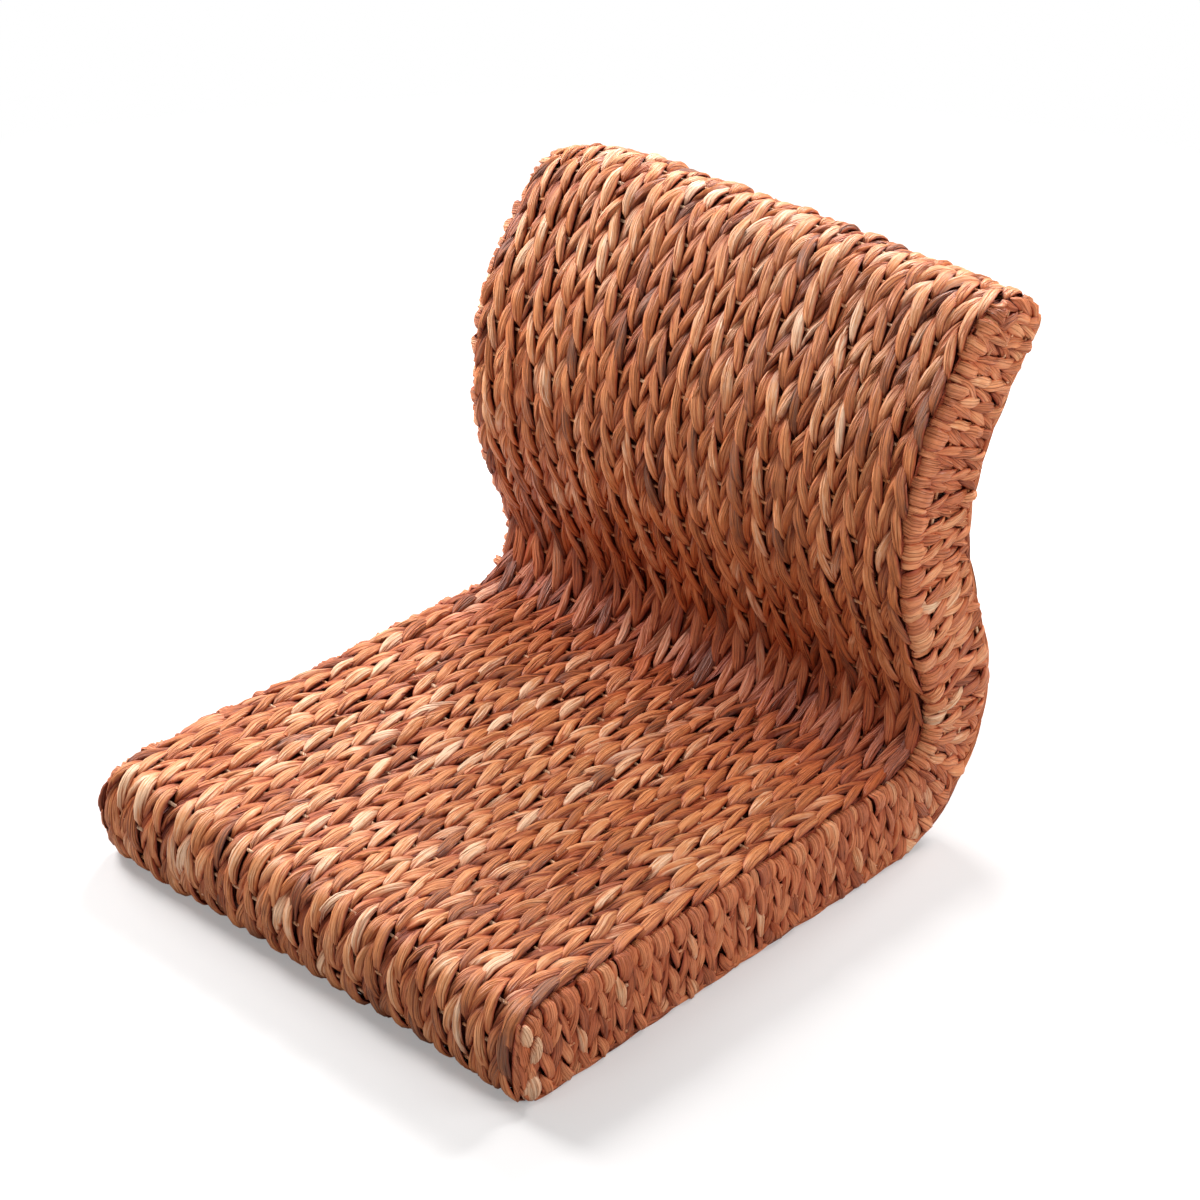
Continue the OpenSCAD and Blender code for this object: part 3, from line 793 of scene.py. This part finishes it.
def sideLeaves():
    w = sideWeave
    cell = middle["length"] / w["columns"]
    form = dict(scale=w["scale"], broad=w["broad"], rise=w["rise"])
    groups = []
    for n in range(w["columns"]):
        centre = (n + 0.5) * cell
        for hand, shape in ((1, overLeaf), (-1, underLeaf)):
            for v in w["cords"]:
                run = dict(shape, along=w["footAlong"]) if v == min(w["cords"]) else shape
                spots = np.array([[centre - hand * cell / 4, -v]])
                groups.append(leavesOver(run, spots, hand, w["stitch"], **form))
        for v in w["cords"]:
            groups.append(cordSights(np.array([-v]), np.array([centre]), w["scale"], w["rise"]))
        for shape, place in ((ridgeLoop, centre), (ridgeTuck, centre + cell / 2)):
            groups.append(leavesOver(shape, np.array([[place, 0.0]]), 1, 1.0, spread=w["loopSpread"]))
    made = joined(groups + [footStrand()])
    leaf = made["lengthwise"] > 0
    made["tone"][leaf] = np.clip(chance.normal(w["tone"], w["toneBy"], leaf.sum()), *w["toneEnds"])
    return made


# the side's inner strands under its leaves, darkened with painted shade
def sideBacking():
    f = sideFloor
    mesh, flat = backingGrid(f["columns"], f["rows"])
    low, high = (np.clip(sign * flat[:, 1], 0, 1) ** f["steep"] for sign in (-1, 1))
    spots = np.stack([
        (flat[:, 0] + 1) / 2 * middle["length"],
        flat[:, 1] * (halfThick - f["margin"]),
        f["rise"] - f["lowDrop"] * low + f["highRise"] * high,
    ], -1)
    return mesh, spots, f["tone"], f["shade"]


for name, hand in (("left", -1), ("right", 1)):
    nodes = [f"side_rows_{name}", f"side_sheet_{name}"]
    kind = dict(sideKind, place=onSide(hand), reverse=hand < 0)
    weavePiece(f"side_weave_{name}", nodes, sideLeaves(), sideBacking(), **kind)
print("sides woven")


# Rolled tails at the right front corner: two small ends, two twisted strands, a knob and a thin strand.
tailShapes = [  # y is from the front; low and high are the heights of the ends
    dict(x=212.0, y=3.0, low=47, high=64, wide=9.4, thick=8.4, lean=-1.5, tone=1.0),
    dict(x=215.2, y=8.2, low=33, high=54, wide=10.0, thick=9.0, lean=1.2, tone=1.0),
    dict(x=212.4, y=4.2, low=22, high=42, wide=6.4, thick=6.4, lean=1.4, tone=0.55),
    dict(x=213.0, y=6.4, low=17, high=33, wide=6.8, thick=6.4, lean=-1.8, tone=0.62),
    dict(x=212.4, y=5.6, low=4, high=24, wide=14.0, thick=12.0, lean=1.5, tone=0.95),
    dict(x=207.8, y=-0.4, low=3, high=64, wide=8.0, thick=7.0, lean=0.8, tone=0.5),
]
tailForm = dict(inner=0.94, margin=0.03, blunt=0.55, roll=40, twist=50, skew=0.35, seedStep=7.0)
# A sheet behind the tails, in painted shade.
tailFloor = dict(x=206.5, wide=1.0, y=5.0, z=34, high=20, tone=0.3, shade=0.2)


def tailLeaves():
    f, t, groups = tailForm, stations, []
    taper = np.sin(np.pi * np.clip(t * f["inner"] + f["margin"], 0, 1)) ** f["blunt"]
    for i, tail in enumerate(tailShapes):
        lean = tail["lean"] * (t - 0.5)
        z = tail["low"] + (tail["high"] - tail["low"]) * t
        groups.append(dict(
            path=np.stack([tail["x"] + lean, frontY + tail["y"] + lean, z], -1)[None],
            width=(tail["wide"] * taper)[None], thick=(tail["thick"] * taper)[None],
            roll=(f["roll"] + f["twist"] * t)[None], folds=foldsOf(1), lengthwise=np.ones(1),
            skew=np.array([f["skew"]]), seed=np.array([f["seedStep"] * i]), tone=np.array([tail["tone"]]),
        ))
    return joined(groups)


# a dark sheet that stands in for the shade behind the tails
def tailBacking():
    f = tailFloor
    mesh, flat = backingGrid(1, 1)
    x, z = f["x"] + flat[:, 0] * f["wide"], f["z"] + flat[:, 1] * f["high"]
    return mesh, np.stack([x, frontY + f["y"] + 0 * x, z], -1), f["tone"], f["shade"]


weavePiece("rolled_tails", ["corner_tails"], tailLeaves(), tailBacking(), **tailKind)
print("tails made")

# Floor, light and camera. To the camera alone, the floor is white far from the chair.
floorLook = dict(half=6, matt=(0.56, 0.547, 0.543, 1), glow=0.25, whiteFrom=0.7, whiteTo=1.5)
skyLook = dict(seen=0.88, always=0.12)
white = (1, 1, 1, 1)
floorBm = bmesh.new()
bmesh.ops.create_grid(floorBm, x_segments=1, y_segments=1, size=floorLook["half"])
floorMesh = bpy.data.meshes.new("floor")
floorBm.to_mesh(floorMesh)
floorBm.free()
floor = bpy.data.objects.new("floor", floorMesh)
bpy.context.collection.objects.link(floor)
floorMat = bpy.data.materials.new("white floor")
floorMat.use_nodes = True
floorMat.node_tree.nodes.clear()
bench = Wire(floorMat.node_tree)
seen = bench.make("ShaderNodeLightPath", out="Is Camera Ray")
matt = bench.make("ShaderNodeBsdfDiffuse", Color=floorLook["matt"])
glow = bench.make("ShaderNodeEmission", Color=white, Strength=seen * floorLook["glow"])
near = bench.make("ShaderNodeAddShader", n0=matt, n1=glow)
spot = bench.make("ShaderNodeTexCoord", out="Object")
apart = bench.make("ShaderNodeVectorMath", dict(operation="LENGTH"), out="Value", n0=spot)
far = bench.make("ShaderNodeEmission", Color=white, Strength=1.0)
fade = apart.spread(floorLook["whiteFrom"], floorLook["whiteTo"]) * seen
both = bench.make("ShaderNodeMixShader", Fac=fade, n1=near, n2=far)
bench.make("ShaderNodeOutputMaterial", Surface=both)
floorMesh.materials.append(floorMat)

world = bpy.data.worlds.new("studio")
bpy.context.scene.world = world
world.use_nodes = True
world.node_tree.nodes.clear()
bench = Wire(world.node_tree)
rays = bench.make("ShaderNodeLightPath", out="Is Camera Ray")
strength = rays * skyLook["seen"] + skyLook["always"]
backdrop = bench.make("ShaderNodeBackground", Color=white, Strength=strength)
bench.make("ShaderNodeOutputWorld", Surface=backdrop)


def softbox(name, place, power, aim, size):
    lamp = bpy.data.lights.new(name, "AREA")
    lamp.shape = "DISK"
    lamp.size = size
    lamp.energy = power
    holder = bpy.data.objects.new(name, lamp)
    holder.location = place
    holder.rotation_euler = (Vector(aim) - Vector(place)).to_track_quat("-Z", "Y").to_euler()
    bpy.context.collection.objects.link(holder)


studio = dict(  # soft light from above, behind and the left, little from the front
    upperLeft=((-1.4, -0.1, 1.6), 27), rearLeft=((-1.1, 1.3, 1.4), 31), rear=((0.2, 1.7, 1.6), 37),
    right=((1.9, 0, 1), 13), front=((0, -1.9, 1), 6.5),
    nearLeft=((-1, -0.1, 0.75), 10), nearRight=((1, 0.5, 0.95), 4),
)
for name, (place, power) in studio.items():
    softbox(name, place, power, aim=(0, 0, 0.15), size=0.6)

shot = dict(
    azimuth=43.1574, elevation=29.8401, distance=2.11922, roll=0.24573,
    aim=(0.061006, -0.02466, 0.22039), lens=92.9765, sensor=36,
)
camData = bpy.data.cameras.new("camera")
camData.sensor_width = shot["sensor"]
camData.lens = shot["lens"]
cam = bpy.data.objects.new("camera", camData)
bpy.context.collection.objects.link(cam)
az, el, roll = (math.radians(shot[k]) for k in ("azimuth", "elevation", "roll"))
back = Vector((math.sin(az) * math.cos(el), -math.cos(az) * math.cos(el), math.sin(el)))
stand = Matrix.Translation(Vector(shot["aim"]) + back * shot["distance"])
cam.matrix_world = stand @ back.to_track_quat("Z", "Y").to_matrix().to_4x4() @ Matrix.Rotation(roll, 4, "Z")
bpy.context.scene.camera = cam
bpy.context.scene.view_settings.view_transform = "Standard"
print("scene set")
